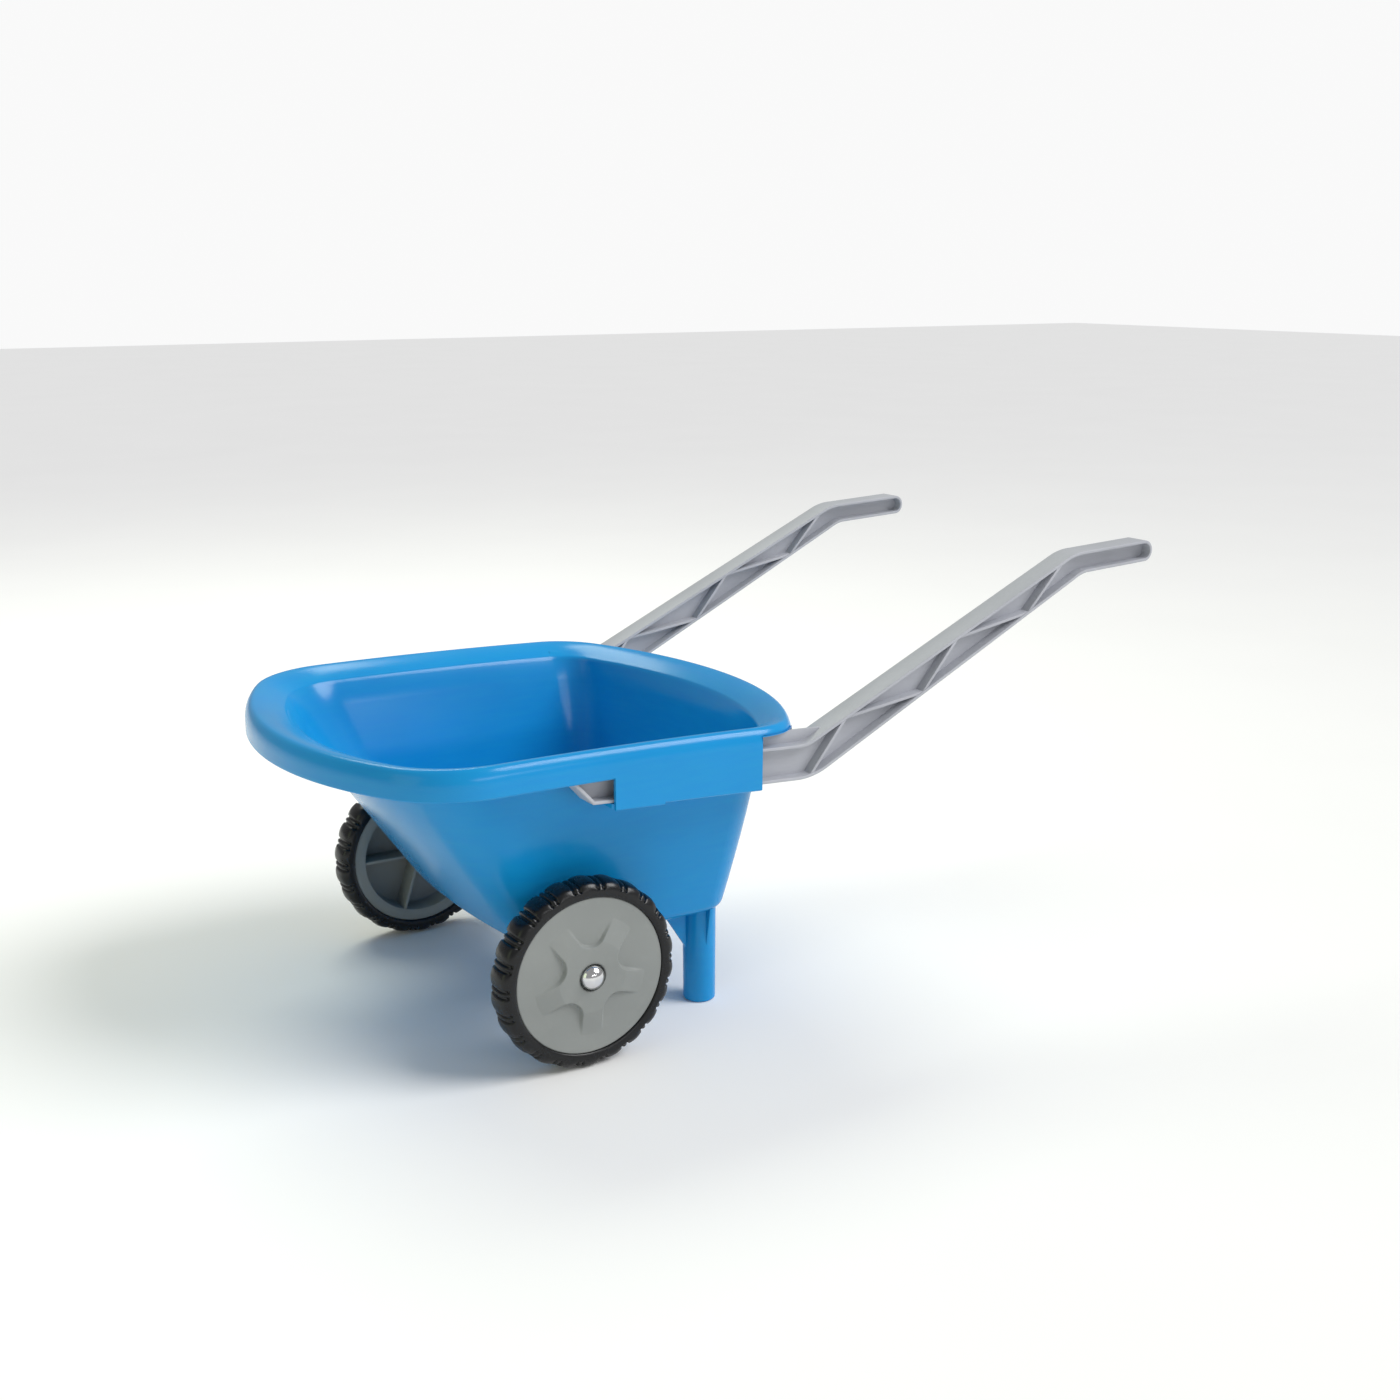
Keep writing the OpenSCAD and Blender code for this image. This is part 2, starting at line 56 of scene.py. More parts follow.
# How far the rim's inner edge, its outer roll and its lip hang below its crest.
inner_drop, roll_drop, lip_drop = 0.009, 0.0135, 0.023
inner_z = crest_z - inner_drop
lip_z = crest_z - lip_drop
rim_w, crest_in = 0.028, 0.0065
crest_share = 1 - crest_in / rim_w
# Each outline holds its front, its back, its half width, the radii of its front and back
# corners, and the radius of its bowed ends.
rim_line = (-0.184, 0.237, 0.189, 0.078, 0.057, 0.300)
wall_line = (-0.152, 0.209, 0.161, 0.062, 0.040, 0.300)
floor_line = (-0.033, 0.165, 0.125, 0.024, 0.024, 0.700)


def between(a, b, share):
    """Outline part of the way from one to another."""
    return tuple(p + (q - p) * share for p, q in zip(a, b))


def shrunk(line, d):
    """Outline set in by this much all round."""
    front, back, half, front_r, back_r, bow = line
    return (front + d, back - d, half - d, front_r - d, back_r - d, bow - d)


# The rim's straight side runs between side_back and side_front, measured from the axle. The
# socket starts on it and stops a little way round the back corner, which end_turn gives.
side_back, side_front = 0.1410, -0.0763
socket_back = 0.144
socket_front = socket_back - 0.129
catch_x = socket_front + 0.042
back_corner_r = rim_line[4]
end_turn = math.asin((socket_back - side_back) / back_corner_r)


def side_shares(gap=0.0001):
    """Shares of the straight side, with close pairs where the skirt steps and starts."""
    steps = (catch_x + gap, catch_x - gap, socket_front + gap, socket_front - gap)
    marks = [(side_back - x) / (side_back - side_front) for x in steps]
    shares = list(marks)
    for low, high, count in ((0, marks[0], 16), (marks[1], marks[2], 8), (marks[3], 1, 14)):
        shares += [low + (high - low) * k / count for k in range(1, count)]
    return [0] + sorted(shares)


def outline(line, end_steps=20, corner_steps=18, pair_turn=0.002):
    """Points round an outline, from the middle of its back over +Y to the front and home."""
    front, back, half, front_r, back_r, bow = line

    def corner(r):
        turn = math.asin((half - r) / (bow - r))
        return turn, bow - math.sqrt((bow - r) ** 2 - (half - r) ** 2)

    def arc(x, y, r, turns):
        return [(x + r * math.cos(t), y + r * math.sin(t)) for t in turns]

    def even(start, stop, steps):
        return [start + (stop - start) * k / steps for k in range(steps)]

    back_turn, back_in = corner(back_r)
    front_turn, front_in = corner(front_r)
    quarter = math.pi / 2
    end = quarter - end_turn
    pair = [end - pair_turn, end + pair_turn]
    right = arc(back - bow, 0, bow, even(0, back_turn, end_steps))
    right += arc(back - back_in, half - back_r, back_r,
                 even(back_turn, pair[0], corner_steps) + pair)
    start, stop = back - back_in, front + front_in
    right += [(start + (stop - start) * share, half) for share in side_shares()]
    right += arc(front + front_in, half - front_r, front_r,
                 even(quarter, math.pi - front_turn, corner_steps))
    right += arc(front + bow, 0, bow, even(math.pi - front_turn, math.pi, end_steps))
    return right + [(front, 0)] + [(x, -y) for x, y in reversed(right[1:])]


rim_tilt = math.radians(0.75)
rim_sag, sag_reach = 0.004, 0.2


def rim_fall(x):
    """How far the rim hangs below level: it tilts down to the back and sags to both ends."""
    return x * math.tan(rim_tilt) + rim_sag * (x / sag_reach) ** 2


def ring_places(line, z, flat=False):
    """Places round an outline. The higher they are, the more they follow the rim's fall."""
    share = 0 if flat else max(0, min(1, (z - floor_z) / (lip_z - floor_z)))
    return [Vector((axle_x + x, y, z - share * rim_fall(x))) for x, y in outline(line)]


def first_ring(mesh, places):
    ring = bmesh.ops.create_circle(mesh, segments=len(places), radius=1)["verts"]
    for vert, place in zip(ring, places):
        vert.co = place
    return ring


def next_ring(mesh, ring, places):
    """Extrudes a closed ring of edges and moves the new ring to its places."""
    edges = [mesh.edges.get((a, b)) for a, b in zip(ring, ring[1:] + ring[:1])]
    order = {v.co.to_tuple(): k for k, v in enumerate(ring)}
    made = bmesh.ops.extrude_edge_only(mesh, edges=edges)["geom"]
    new = [None] * len(ring)
    for vert in made:
        if isinstance(vert, bmesh.types.BMVert):
            new[order[vert.co.to_tuple()]] = vert
    for vert, place in zip(new, places):
        vert.co = place
    return new


def close_middle(mesh, ring, steps=5):
    """Fills a ring with smaller rings and a last small face."""
    middle = sum((v.co for v in ring), Vector()) / len(ring)
    edge = [v.co.copy() for v in ring]
    for k in range(1, steps):
        share = 1 - k / steps
        ring = next_ring(mesh, ring, [middle + (p - middle) * share for p in edge])
    bmesh.ops.contextual_create(mesh, geom=ring)


def wall_at(z):
    """Outline of the leaning walls' outer face at a height."""
    return between(floor_line, wall_line, (z - floor_z) / (inner_z - floor_z))


def wall_path(inset, fillet, steps=8):
    """Outlines and heights from the floor, round its fillet and up the wall."""
    path = []
    for k in range(steps + 1):
        turn = math.radians(90 * k / steps)
        z = floor_z + inset + fillet * (1 - math.cos(turn))
        path.append((shrunk(wall_at(z), inset + fillet * (1 - math.sin(turn))), z))
    low, top = path[-1][1], inner_z - 0.004
    for k in range(1, steps + 1):
        z = low + (top - low) * k / steps
        path.append((shrunk(wall_at(z), inset), z))
    return path


def roll_path(inner, outer, top, rise_steps=12, roll_steps=14):
    """Outlines and heights from the rim's inner edge over its crest and down its roll."""
    path = []
    for k in range(rise_steps + 1):
        share = crest_share * k / rise_steps
        drop = inner_drop * (1 - k / rise_steps) ** 1.5
        path.append((between(inner, outer, share), top - drop))
    for k in range(1, roll_steps + 1):
        turn = math.radians(90 * k / roll_steps)
        share = crest_share + (1 - crest_share) * math.sin(turn)
        path.append((between(inner, outer, share), top - roll_drop * (1 - math.cos(turn))))
    return path


# Each socket lies under the rim on a slope, which starts over the axle at the crest. The
# heights of the handle and of what fits round it are measured on that slope.
slope_tilt = math.radians(3.2)
slope = Matrix.Translation((axle_x, 0, crest_z)) @ Matrix.Rotation(slope_tilt, 4, "Y")
handle_depth = 0.0285
handle_top = -0.0126
handle_bottom = handle_top - handle_depth
handle_y = 0.1743
socket_half = 0.0113
web_y, skirt_in = handle_y - socket_half, handle_y + socket_half
socket_floor = handle_bottom - 0.0003
ledge_t = 0.0036
socket_bottom = socket_floor - ledge_t
# The skirt's front part, ahead of the catch, hangs a little lower than the rest.
skirt_step = 0.0016
# Behind the socket the lip is cut short, so that the handle passes under the rim.
lip_cut = handle_top + 0.0105

# Which columns of the shell stand behind a socket, and which over its skirt.
behind_socket = [x > socket_back for x, y in outline(rim_line)]
over_skirt = [socket_front < x < socket_back and abs(y) > skirt_in - 0.002
              for x, y in outline(rim_line)]


def cut_lip(places):
    """Lifts what is too low behind a socket up to the cut edge of the lip."""
    cut_places = []
    for place, behind in zip(places, behind_socket):
        x = place.x - axle_x
        cut = crest_z + lip_cut - x * math.tan(slope_tilt)
        raised = behind and abs(place.y) > web_y and place.z < cut
        cut_places.append(Vector((place.x, place.y, cut)) if raised else place)
    return cut_places


def skirted(places, rise):
    """Moves the lip's lower edge down to the skirt's, between the socket's ends."""
    low_places = []
    for place, over in zip(cut_lip(places), over_skirt):
        x = place.x - axle_x
        low = socket_bottom - (skirt_step if x < catch_x else 0)
        at = slope @ Vector((x, place.y, low + rise))
        low_places.append(Vector((place.x, place.y, at.z)) if over else place)
    return low_places


tub = bmesh.new()
under = wall_path(0, fillet=0.008)
under += roll_path(wall_line, shrunk(rim_line, wall), crest_z - wall)
ring = first_ring(tub, ring_places(*under[0], flat=True))
close_middle(tub, ring)
for line, z in under[1:]:
    ring = next_ring(tub, ring, cut_lip(ring_places(line, z)))
# The lip's lower edge is rounded, then the rim turns up and over.
edge_rise = 0.0006
places = ring_places(shrunk(rim_line, wall), lip_z + edge_rise)
ring = next_ring(tub, ring, skirted(places, edge_rise))
for inset, rise in ((0.0022, 0), (0.0008, 0), (0, 0.0008), (0, 0.003)):
    places = ring_places(shrunk(rim_line, inset), lip_z + rise)
    lift = Vector((0, 0, 0.0001 + 0.5 * rise))
    ring = next_ring(tub, ring, [p + lift for p in skirted(places, 0.5 * rise)])
ring = next_ring(tub, ring, cut_lip(ring_places(rim_line, lip_z + 0.006)))
over = roll_path(shrunk(wall_line, 0.0005), rim_line, crest_z)
for line, z in reversed(over):
    ring = next_ring(tub, ring, cut_lip(ring_places(line, z)))
# The rim's inner edge is rounded into the wall, which goes down to the floor.
for inset, drop in ((0.0012, 0.0004), (0.0021, 0.0012), (0.0027, 0.0024)):
    ring = next_ring(tub, ring, ring_places(shrunk(wall_line, inset), inner_z - drop))
for line, z in reversed(wall_path(wall, fillet=0.006)):
    ring = next_ring(tub, ring, ring_places(line, z))
close_middle(tub, ring)
# Where the lip is cut short, columns fold up to nothing, which this takes out.
bmesh.ops.remove_doubles(tub, verts=tub.verts, dist=1e-5)
bmesh.ops.dissolve_degenerate(tub, edges=tub.edges, dist=1e-5)
bmesh.ops.recalc_face_normals(tub, faces=tub.faces)


# The sockets, legs and lugs are part of the same moulding. Each handle slides in behind
# the deep skirt, on a ledge with a hole for its catch. The legs are round posts with a gusset
# to the front and a fin to the side, and two lugs under the floor carry the axle.
def soften(mesh, width, segments=2, least=30):
    """Rounds the edges that are sharper than this many degrees."""
    sharp = [e for e in mesh.edges
             if e.is_manifold and e.calc_face_angle(0) > math.radians(least)]
    bmesh.ops.bevel(mesh, geom=sharp, offset=width, offset_type="OFFSET",
                    segments=segments, profile=0.5, affect="EDGES", material=-1)


def block(mesh, low, high, place, edge=0.0005):
    """Box between two corners, with softened edges, put in place by a matrix."""
    part = bmesh.new()
    bmesh.ops.create_cube(part, size=1)
    size = [b - a for a, b in zip(low, high)]
    middle = [(a + b) / 2 for a, b in zip(low, high)]
    bmesh.ops.scale(part, vec=size, verts=part.verts)
    bmesh.ops.translate(part, vec=middle, verts=part.verts)
    soften(part, edge)
    add_part(mesh, part, place)


def add_part(mesh, part, place):
    """Puts a part in place and joins it to a mesh."""
    bmesh.ops.transform(part, matrix=place, verts=part.verts)
    bmesh.ops.recalc_face_normals(part, faces=part.faces)
    data = bpy.data.meshes.new("part")
    part.to_mesh(data)
    part.free()
    mesh.from_mesh(data)
    bpy.data.meshes.remove(data)


def plate(mesh, corners, thickness, place, edge=0.0004):
    """Plate cut to a side view given in X and Z, centred on its own Y."""
    part = bmesh.new()
    verts = [part.verts.new((x, -thickness / 2, z)) for x, z in corners]
    edges = [part.edges.new(pair) for pair in zip(verts, verts[1:] + verts[:1])]
    face = bmesh.ops.edgeloop_fill(part, edges=edges)["faces"]
    made = bmesh.ops.extrude_face_region(part, geom=face)["geom"]
    moved = [v for v in made if isinstance(v, bmesh.types.BMVert)]
    bmesh.ops.translate(part, vec=(0, thickness, 0), verts=moved)
    if edge:
        soften(part, edge)
    add_part(mesh, part, place)


def lathe(mesh, profile, place, steps=96):
    """Turns a profile of radii and heights round its own Z axis."""
    part = bmesh.new()
    verts = [part.verts.new((r, 0, z)) for r, z in profile]
    edges = [part.edges.new(pair) for pair in zip(verts, verts[1:])]
    bmesh.ops.spin(part, geom=verts + edges, axis=(0, 0, 1), cent=(0, 0, 0),
                   steps=steps, angle=math.tau, use_merge=True)
    bmesh.ops.remove_doubles(part, verts=part.verts, dist=1e-6)
    add_part(mesh, part, place)


# The ledge is laid in four blocks round the hole for the catch, and they lap by a millimetre.
ledge_in, ledge_out = 0.1515, 0.187
hole_half, hole_end = 0.0055, catch_x + 0.008
lap = 0.001
web_top = -0.0085
# The leg's profile: a flat foot with a rounded edge, and a slight taper up to the floor.
leg_r = 0.01375
leg_x, leg_y = 0.139, 0.1045
leg_top = floor_z + wall / 2
foot_r, foot_round = leg_r - 0.0004, 0.002
leg_profile = [(0, 0), (leg_r - 0.0035, 0)]
leg_profile += [(foot_r - foot_round * (1 - math.sin(turn)), foot_round * (1 - math.cos(turn)))
                for turn in [math.radians(18 * k) for k in range(1, 6)]]
leg_profile += [(leg_r - 0.0002, 0.04), (leg_r, leg_top), (0, leg_top)]
# The gusset and the fin reach this far from the leg's middle, and their tops sink into the
# floor. The lug's sides go up into it from a half round.
gusset_low = floor_z - 0.035
gusset_reach, fin_reach = leg_r + 0.022, 0.0195
gusset_top, fin_top = floor_z + 0.001, floor_z + 0.003
lug_in, lug_w = 0.093, 0.030
lug_r, lug_rise = 0.010, 0.008
lug_side = [(lug_r * math.cos(math.radians(t)), lug_r * math.sin(math.radians(t)))
            for t in range(180, 361, 15)]
lug_side += [(lug_r, lug_rise), (-lug_r, lug_rise)]


def across(side, a, b):
    """Two places across the tub, on one side, with the lower one first."""
    return (min(side * a, side * b), max(side * a, side * b))


for side in (1, -1):
    y0, y1 = across(side, ledge_in, ledge_out)
    block(tub, (socket_front, y0, socket_bottom), (catch_x, y1, socket_floor), slope)
    block(tub, (hole_end, y0, socket_bottom), (socket_back, y1, socket_floor), slope)
    for a, b in ((ledge_in, handle_y - hole_half), (handle_y + hole_half, ledge_out)):
        y0, y1 = across(side, a, b)
        block(tub, (catch_x - lap, y0, socket_bottom), (hole_end + lap, y1, socket_floor), slope)
    y0, y1 = across(side, web_y - wall, web_y)
    block(tub, (socket_front, y0, socket_bottom), (socket_back, y1, web_top), slope)

    leg = Matrix.Translation((axle_x + leg_x, side * leg_y, 0))
    lathe(tub, leg_profile, leg, steps=72)
    plate(tub, [(0, gusset_low), (0.001 - leg_r, gusset_low), (-gusset_reach, gusset_top),
                (0, gusset_top)], wall, leg)
    plate(tub, [(0, gusset_low), (leg_r - 0.001, gusset_low), (fin_reach, fin_top), (0, fin_top)],
          wall, leg @ Matrix.Rotation(math.radians(90 * side), 4, "Z"))
    plate(tub, lug_side, lug_w,
          Matrix.Translation((axle_x, side * (lug_in + lug_w / 2), axle_z)))


# Shader maths is written as Python expressions on this wrapper of one socket.
class Wire:
    def __init__(self, tree, socket=None):
        self.tree = tree
        self.socket = socket

    def node(self, kind, settings=None, inputs=None, out=0):
        made = self.tree.nodes.new(kind)
        for name, value in (settings or {}).items():
            setattr(made, name, value)
        for name, value in (inputs or {}).items():
            if isinstance(value, Wire):
                self.tree.links.new(value.socket, made.inputs[name])
            else:
                made.inputs[name].default_value = value
        return Wire(self.tree, made.outputs[out])

    def maths(self, operation, *values):
        return self.node("ShaderNodeMath", {"operation": operation}, dict(enumerate(values)))

    def __add__(self, other):
        return self.maths("ADD", self, other)

    __radd__ = __add__

    def __mul__(self, other):
        return self.maths("MULTIPLY", self, other)

    __rmul__ = __mul__


def surface(name, **constants):
    """New material with these constants on its shader. Returns it, its wire and its shader."""
    material = bpy.data.materials.new(name)
    material.use_nodes = True
    shader = material.node_tree.nodes["Principled BSDF"]
    for socket, value in constants.items():
        shader.inputs[socket.replace("_", " ")].default_value = value
    return material, Wire(material.node_tree), shader


def join_up(wire, shader, **links):
    """Links these wires to the shader's sockets of the same names."""
    for socket, value in links.items():
        wire.tree.links.new(value.socket, shader.inputs[socket.replace("_", " ")])


def object_coords(wire, stretch=(1, 1, 1)):
    coords = wire.node("ShaderNodeTexCoord", out="Object")
    return wire.node("ShaderNodeMapping", inputs={"Vector": coords, "Scale": stretch})


def noise(wire, coords, scale, detail=3, roughness=0.5):
    return wire.node("ShaderNodeTexNoise", {"noise_dimensions": "3D"},
                     {"Vector": coords, "Scale": scale, "Detail": detail,
                      "Roughness": roughness})


def spread(wire, value, low, high, new_low=0, new_high=1):
    return wire.node("ShaderNodeMapRange", {"clamp": True},
                     {"Value": value, "From Min": low, "From Max": high,
                      "To Min": new_low, "To Max": new_high})


def blend_colours(wire, share, a, b):
    return wire.node("ShaderNodeMix", {"data_type": "RGBA"}, {0: share, 6: a, 7: b}, out=2)


def bump(wire, height, strength, distance):
    return wire.node("ShaderNodeBump", inputs={"Height": height, "Strength": strength,
                                               "Distance": distance})


def finish_piece(mesh, name, material, body, nodes, smooth=32):
    """Makes a piece from its mesh, which rides on a body and stands for these CAD nodes."""
    data = bpy.data.meshes.new(name)
    for face in mesh.faces:
        face.smooth = True
    mesh.to_mesh(data)
    mesh.free()
    data.set_sharp_from_angle(angle=math.radians(smooth))
    data.materials.append(material)
    piece = bpy.data.objects.new(name, data)
    bpy.context.collection.objects.link(piece)
    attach(piece, body)
    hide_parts(*nodes)


tub_plastic, w, shader = surface("glossy_blue_plastic", IOR=1.5, Specular_IOR_Level=0.32)
coords = object_coords(w)
cloud = noise(w, coords, 7, 2)
flow = noise(w, object_coords(w, (9, 9, 60)), 4, 3)
peel = noise(w, coords, 190, 2)
scuff = noise(w, object_coords(w, (240, 35, 60)), 6, 5, 0.6)
deep = blend_colours(w, spread(w, cloud, 0.35, 0.65), (0.004, 0.250, 0.600, 1),
                     (0.005, 0.280, 0.670, 1))
blue = blend_colours(w, spread(w, flow, 0.3, 0.8, 0, 0.35), deep, (0.009, 0.320, 0.610, 1))
rough = spread(w, scuff, 0.35, 0.75, 0.17, 0.24) + spread(w, cloud, 0.3, 0.7, 0, 0.03)
join_up(w, shader, Base_Color=blue, Roughness=rough,
        Normal=bump(w, peel + 0.3 * scuff, 0.02, 0.0002))
finish_piece(tub, "tub_moulding", tub_plastic, "barrow", ["tub"])

# ---------------------------------------------------------------------------------------
# The two handles. Each is an I-beam moulded in light grey polypropylene: a flange all round
# its side view, a thin web down the middle, zigzag ribs up the slope, and an upright fin
# that fills the crook of the lower bend. A wedge under its lower end snaps into the socket.
flange_w = 0.022
beam_t = 0.0026
lower_len, slope_len, grip_len = 0.049, 0.307, 0.086
slope_turn, grip_turn = math.radians(28.7), math.radians(6)
grip_h = 0.0185
# The slope is as deep as the part in the socket at its foot, and less deep at its top.
slope_depth = (handle_depth, 0.021)
bend_r = 0.045


def aim(turn):
    """Direction at an angle up from level, in the side view."""
    return Vector((math.cos(turn), math.sin(turn)))


def side_on(turn):
    """Direction square to the one at this angle, on its upper side."""
    return Vector((-math.sin(turn), math.cos(turn)))


bend_point = Vector((socket_back + lower_len, handle_top - handle_depth / 2))
upper_point = bend_point + slope_len * aim(slope_turn)
lower_centre = bend_point + Vector((-bend_r * math.tan(slope_turn / 2), bend_r))
upper_tangent = bend_r * math.tan((slope_turn - grip_turn) / 2)
upper_centre = upper_point - upper_tangent * aim(slope_turn) - bend_r * side_on(slope_turn)
grip_end = upper_point + (grip_len - grip_h / 2) * aim(grip_turn)
nose_x = socket_front - 0.014


def beam_edge(edge, inset, steps=14):
    """Upper (1) or lower (-1) edge of the side view, through both bends."""
    points = []
    for k in range(steps + 1):
        share = k / steps
        reach = bend_r - edge * (handle_depth / 2 - inset)
        points.append(lower_centre - reach * side_on(slope_turn * share))
    for k in range(steps + 1):
        share = k / steps
        depth = slope_depth[1] + (grip_h - slope_depth[1]) * share
        reach = bend_r + edge * (depth / 2 - inset)
        turn = slope_turn + (grip_turn - slope_turn) * share
        points.append(upper_centre + reach * side_on(turn))
    return points


def beam_outline(inset):
    """The whole side view, set in by this much: nose, lower edge, grip's end, upper edge."""
    low, high = handle_bottom + inset, handle_top - inset
    nose_low = nose_x + inset * (math.sqrt(2) - 1)
    end_r = grip_h / 2 - inset
    tip = [grip_end + end_r * aim(math.radians(t) + grip_turn) for t in range(-80, 81, 10)]
    return ([Vector((nose_low - (high - low), high)), Vector((nose_low, low))]
            + beam_edge(-1, inset) + tip + beam_edge(1, inset)[::-1])


def flange(mesh, width, place):
    """The band of flange all round the side view, with rounded edges."""
    part = bmesh.new()
    loops = []
    for inset in (0, beam_t):
        verts = [part.verts.new((x, -width / 2, z)) for x, z in beam_outline(inset)]
        loops += [part.edges.new(pair) for pair in zip(verts, verts[1:] + verts[:1])]
    faces = bmesh.ops.bridge_loops(part, edges=loops)["faces"]
    made = bmesh.ops.extrude_face_region(part, geom=faces)["geom"]
    moved = [v for v in made if isinstance(v, bmesh.types.BMVert)]
    bmesh.ops.translate(part, vec=(0, width, 0), verts=moved)
    bmesh.ops.recalc_face_normals(part, faces=part.faces)
    soften(part, 0.0007, segments=3, least=50)
    add_part(mesh, part, place)


rib_rise, rib_fall, rib_start = 0.049, 0.074, -0.004
rib_width = flange_w - 0.0016
# Where the first rib starts, the bend makes the room between the flanges smaller.
bend_loss = 0.0036
rib_sink = 0.0006


def rib_end(along, edge):
    """Where a rib meets the upper (1) or lower (-1) flange, this far up the slope."""
    depth = slope_depth[0] + (slope_depth[1] - slope_depth[0]) * along / slope_len
    if along < 0:
        depth -= bend_loss
    return (bend_point + along * aim(slope_turn)
            + edge * (depth / 2 - beam_t / 2) * side_on(slope_turn))


def rib(mesh, a, b, place):
    """A rib from one point to another, with its ends sunk into the flanges."""
    run = (b - a).normalized()
    off = Vector((-run.y, run.x)) * beam_t / 2
    a, b = a - run * rib_sink, b + run * rib_sink
    plate(mesh, [a - off, b - off, b + off, a + off], rib_width, place, 0.0005)


handle_plastic, w, shader = surface("grey_handle_plastic", IOR=1.47)
coords = object_coords(w)
cloud = noise(w, coords, 9, 2)
grain = noise(w, coords, 1300, 2)
streak = noise(w, object_coords(w, (14, 160, 120)), 5, 4, 0.6)
base = blend_colours(w, spread(w, cloud, 0.35, 0.65), (0.400, 0.412, 0.455, 1),
                     (0.455, 0.468, 0.512, 1))
grey = blend_colours(w, spread(w, streak, 0.45, 0.85, 0, 0.3), base, (0.345, 0.356, 0.392, 1))
rough = spread(w, streak, 0.3, 0.7, 0.40, 0.52) + spread(w, grain, 0.3, 0.7, 0, 0.05)
join_up(w, shader, Base_Color=grey, Roughness=rough,
        Normal=bump(w, grain + 0.8 * streak, 0.14, 0.00015))

crook_rise = 0.0102
crook_top = handle_top + crook_rise
crook_front = socket_back - 0.030
crook_back = bend_point.x + (crook_top - handle_top) / math.tan(slope_turn) - 0.002
crook_fin = [(crook_front, handle_top - 0.001), (crook_front + 0.010, crook_top),
             (crook_back, crook_top), (bend_point.x + 0.003, handle_top - 0.001)]
wedge_front, wedge_back = catch_x + 0.0005, catch_x + 0.0075
wedge_root, wedge_tip = handle_bottom + 0.001, handle_bottom - 0.0024
wedge_w = 0.010
wedge = [(wedge_front, wedge_root), (wedge_front, handle_bottom),
         (wedge_back - 0.0005, wedge_tip), (wedge_back, wedge_tip), (wedge_back, wedge_root)]
rib_pairs = 3

for side, name in ((-1, "left"), (1, "right")):
    handle = bmesh.new()
    place = slope @ Matrix.Translation((0, side * handle_y, 0))
    flange(handle, flange_w, place)
    plate(handle, beam_outline(beam_t / 2), beam_t, place, edge=0)
    plate(handle, crook_fin, beam_t, place, edge=0.0006)
    for k in range(rib_pairs):
        start = rib_start + k * (rib_rise + rib_fall)
        rib(handle, rib_end(start, -1), rib_end(start + rib_rise, 1), place)
        if k < rib_pairs - 1:
            rib(handle, rib_end(start + rib_rise, 1),
                rib_end(start + rib_rise + rib_fall, -1), place)
    plate(handle, wedge, wedge_w, place, edge=0.0002)
    finish_piece(handle, f"handle_{name}_beam", handle_plastic, "barrow",
                 [f"handle_{name}"])

# ---------------------------------------------------------------------------------------
# The axle, its spacers and its push nuts. A plain steel rod runs through the lugs, plastic
# sleeves keep the wheels off the tub, and toothed spring-steel nuts are pressed on its ends.
rod_steel, w, shader = surface("drawn_steel", Metallic=1.0)
coords = object_coords(w)
drawn = noise(w, object_coords(w, (900, 12, 900)), 1, 4, 0.6)
stain = noise(w, coords, 60, 3)
tone = blend_colours(w, spread(w, stain, 0.4, 0.7), (0.50, 0.50, 0.51, 1), (0.40, 0.39, 0.38, 1))
join_up(w, shader, Base_Color=tone, Roughness=spread(w, drawn, 0.2, 0.8, 0.22, 0.42),
        Normal=bump(w, drawn, 0.2, 0.0001))
finishes = {"axle": rod_steel, "push_nut_left": rod_steel, "push_nut_right": rod_steel,
            "spacer_left": tub_plastic, "spacer_right": tub_plastic}
for node, finish in finishes.items():
    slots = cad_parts[node].data.materials
    slots.clear()
    slots.append(finish)

# ---------------------------------------------------------------------------------------
# The hubs. Each is a grey moulding with a raised five-armed star on its outer face, open at
# the back, where five ribs run from the boss to a broad rim. It turns freely on the axle.
hub_r = 0.062
hub_w = 0.023
hub_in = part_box("hub_right")[0].y
hub_out = hub_in + hub_w
arm_count = 5
star_t = 0.0034
star_r = 0.047
arm_half = 0.009
# Each valley between two arms is round, with its middle at this distance from the axle.
valley_at = 0.036
valley_r = valley_at * math.sin(math.pi / arm_count) - arm_half
star_edge, edge_share = 0.0018, 0.6
tip_slope = 0.18


def star_height(r, turn):
    """Height of the star over the disc. Its arms slope down to the disc at their ends."""
    sector = math.tau / arm_count
    off = (turn - math.radians(90) + sector / 2) % sector - sector / 2
    along, aside = r * math.cos(off), abs(r * math.sin(off))
    valley = Vector((valley_at * math.cos(sector / 2), valley_at * math.sin(sector / 2)))
    if along < valley.x:
        inside = (Vector((along, aside)) - valley).length - valley_r
    else:
        inside = arm_half - aside
    rise = max(0.0, min(1.0, inside / star_edge + edge_share))
    top = min(star_t, tip_slope * max(0.0, star_r - r))
    return top * rise * rise * (3 - 2 * rise)


